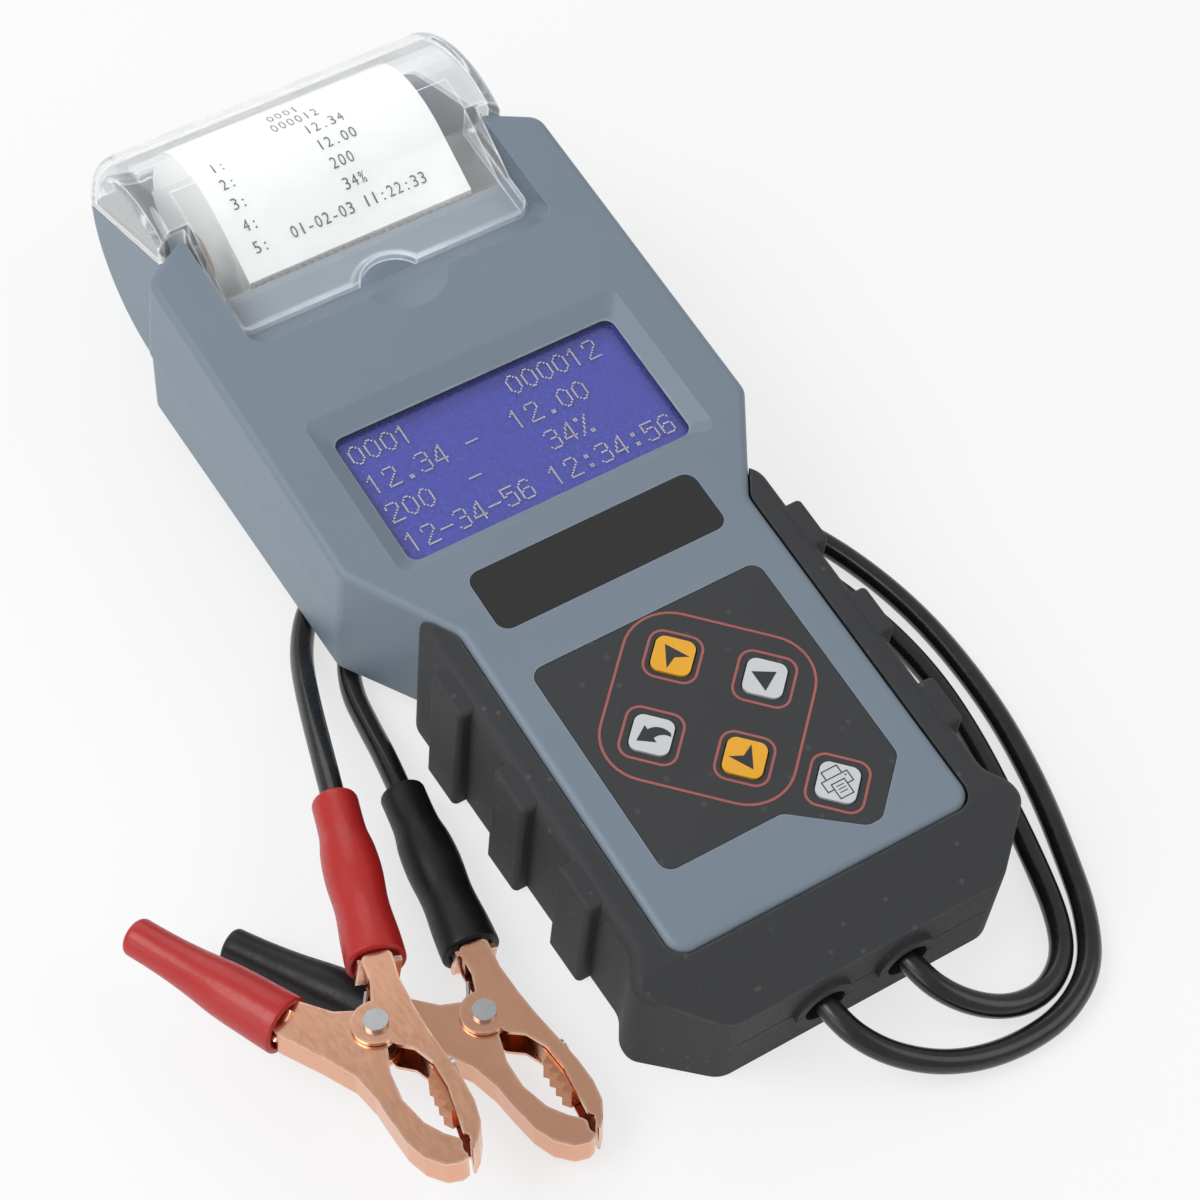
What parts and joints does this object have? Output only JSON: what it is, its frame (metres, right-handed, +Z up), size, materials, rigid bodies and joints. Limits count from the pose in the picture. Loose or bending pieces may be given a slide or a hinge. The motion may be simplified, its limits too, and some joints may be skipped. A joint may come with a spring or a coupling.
{
  "type": "handheld battery tester",
  "caption": "Handheld battery tester with a screen, keypad, built-in receipt printer under a clear hinged door, rubber boot and two clamp leads.",
  "frame": {"origin": "On the floor under the middle of the instrument's own bounding box, leaving out the leads and clamps", "axes": "+Y from the lead end to the printer end, +X to the right seen from above, +Z up from the floor; the face leans back by 6 degrees"},
  "size_m": [0.196, 0.2903, 0.0581],
  "materials": {
    "shell": "satin moulded",
    "boot": "matte, finely pitted",
    "lens": "clear",
    "display": "smooth",
    "label": "gloss film",
    "overlay": "satin film",
    "board": "solder mask",
    "black_plastic": "moulded",
    "steel": "zinc plated",
    "paper": "smooth thermal paper",
    "core": "wound card",
    "platen": "ground",
    "gear": "moulded",
    "cell": "wrapped can",
    "lead": "smooth gloss",
    "clear": "clear moulded",
    "key_yellow": "satin",
    "key_grey": "satin",
    "copper": "brushed copper plate",
    "zinc": "zinc plated",
    "red_sleeve": "satin dipped vinyl",
    "black_sleeve": "satin dipped vinyl"
  },
  "bodies": {
    "case": {"front_shell": "shell", "rear_shell": "shell", "rubber_boot": "boot", "lcd_lens": "lens", "lcd_module": "display", "label_plate": "label", "keypad_overlay": "overlay", "main_pcb": "board", "tact_switches": "black_plastic", "pcb_screws": "steel", "case_screws": "steel", "hinge_pins": "steel", "roll_spindle": "black_plastic", "paper_web": "paper", "tear_bar": "steel", "printer_frame": "steel", "print_head": "black_plastic", "printer_motor": "steel", "battery_cover": "shell", "battery_cells": "cell", "battery_contacts": "steel", "cover_screws": "steel", "left_gland": "black_plastic", "right_gland": "black_plastic", "red_lead": "lead", "black_lead": "lead", "red_fixed_jaw": "copper", "red_pivot_rivet": "zinc", "red_spring": "zinc", "red_cable_sleeve": "red_sleeve", "red_contact_strip": "copper", "red_strip_rivet": "zinc", "red_crimp": "zinc", "black_fixed_jaw": "copper", "black_pivot_rivet": "zinc", "black_spring": "zinc", "black_cable_sleeve": "black_sleeve", "black_contact_strip": "copper", "black_strip_rivet": "zinc", "black_crimp": "zinc"},
    "printer_door": {"printer_door": "clear"},
    "paper_roll": {"paper_roll": "paper", "paper_core": "core"},
    "platen": {"platen_roller": "platen", "platen_gear": "gear"},
    "idler": {"idler_gear": "gear"},
    "pinion": {"motor_pinion": "gear"},
    "key_up": {"key_up": "key_yellow"},
    "key_down": {"key_down": "key_yellow"},
    "key_left": {"key_left": "key_grey"},
    "key_right": {"key_right": "key_grey"},
    "key_print": {"key_print": "key_grey"},
    "red_jaw": {"red_moving_jaw": "copper", "red_free_sleeve": "red_sleeve"},
    "black_jaw": {"black_moving_jaw": "copper", "black_free_sleeve": "black_sleeve"}
  },
  "joints": [
    {"name": "printer_door_hinge", "type": "hinge", "parent": "case", "child": "printer_door", "pos_m": [0, 0.1302, 0.03025], "axis": [-1, 0, 0], "range_deg": [0, 100]},
    {"name": "paper_roll_spin", "type": "hinge", "parent": "case", "child": "paper_roll", "pos_m": [0, 0.09953, 0.0288], "axis": [1, 0, 0], "continuous": true},
    {"name": "platen_spin", "type": "hinge", "parent": "case", "child": "platen", "pos_m": [0, 0.06976, 0.03474], "axis": [1, 0, 0], "continuous": true},
    {"name": "idler_spin", "type": "hinge", "parent": "case", "child": "idler", "pos_m": [0, 0.06903, 0.02426], "axis": [1, 0, 0], "continuous": true},
    {"name": "pinion_spin", "type": "hinge", "parent": "case", "child": "pinion", "pos_m": [0, 0.06368, 0.01766], "axis": [1, 0, 0], "continuous": true},
    {"name": "key_up_press", "type": "slide", "parent": "case", "child": "key_up", "axis": [0, 0.1045, -0.9945], "range_m": [0, 0.0006], "stiffness_N_per_m": 600},
    {"name": "key_down_press", "type": "slide", "parent": "case", "child": "key_down", "axis": [0, 0.1045, -0.9945], "range_m": [0, 0.0006], "stiffness_N_per_m": 600},
    {"name": "key_left_press", "type": "slide", "parent": "case", "child": "key_left", "axis": [0, 0.1045, -0.9945], "range_m": [0, 0.0006], "stiffness_N_per_m": 600},
    {"name": "key_right_press", "type": "slide", "parent": "case", "child": "key_right", "axis": [0, 0.1045, -0.9945], "range_m": [0, 0.0006], "stiffness_N_per_m": 600},
    {"name": "key_print_press", "type": "slide", "parent": "case", "child": "key_print", "axis": [0, 0.1045, -0.9945], "range_m": [0, 0.0006], "stiffness_N_per_m": 600},
    {"name": "red_jaw_hinge", "type": "hinge", "parent": "case", "child": "red_jaw", "pos_m": [-0.0915, -0.09557, 0.0212], "axis": [-0.0089, -0.0692, -0.9976], "range_deg": [0, 18], "stiffness_Nm_per_rad": 0.3, "springref_deg": -5.73, "deforming": ["red_spring"]},
    {"name": "black_jaw_hinge", "type": "hinge", "parent": "case", "child": "black_jaw", "pos_m": [-0.0683, -0.09677, 0.0065], "axis": [0, 0, -1], "range_deg": [0, 18], "stiffness_Nm_per_rad": 0.3, "springref_deg": -5.73, "deforming": ["black_spring"]}
  ],
  "couplings": [
    {"joint": "platen_spin", "follows": "paper_roll_spin", "ratio": -5.5556},
    {"joint": "idler_spin", "follows": "paper_roll_spin", "ratio": 6.1111},
    {"joint": "pinion_spin", "follows": "paper_roll_spin", "ratio": -8.7302}
  ]
}
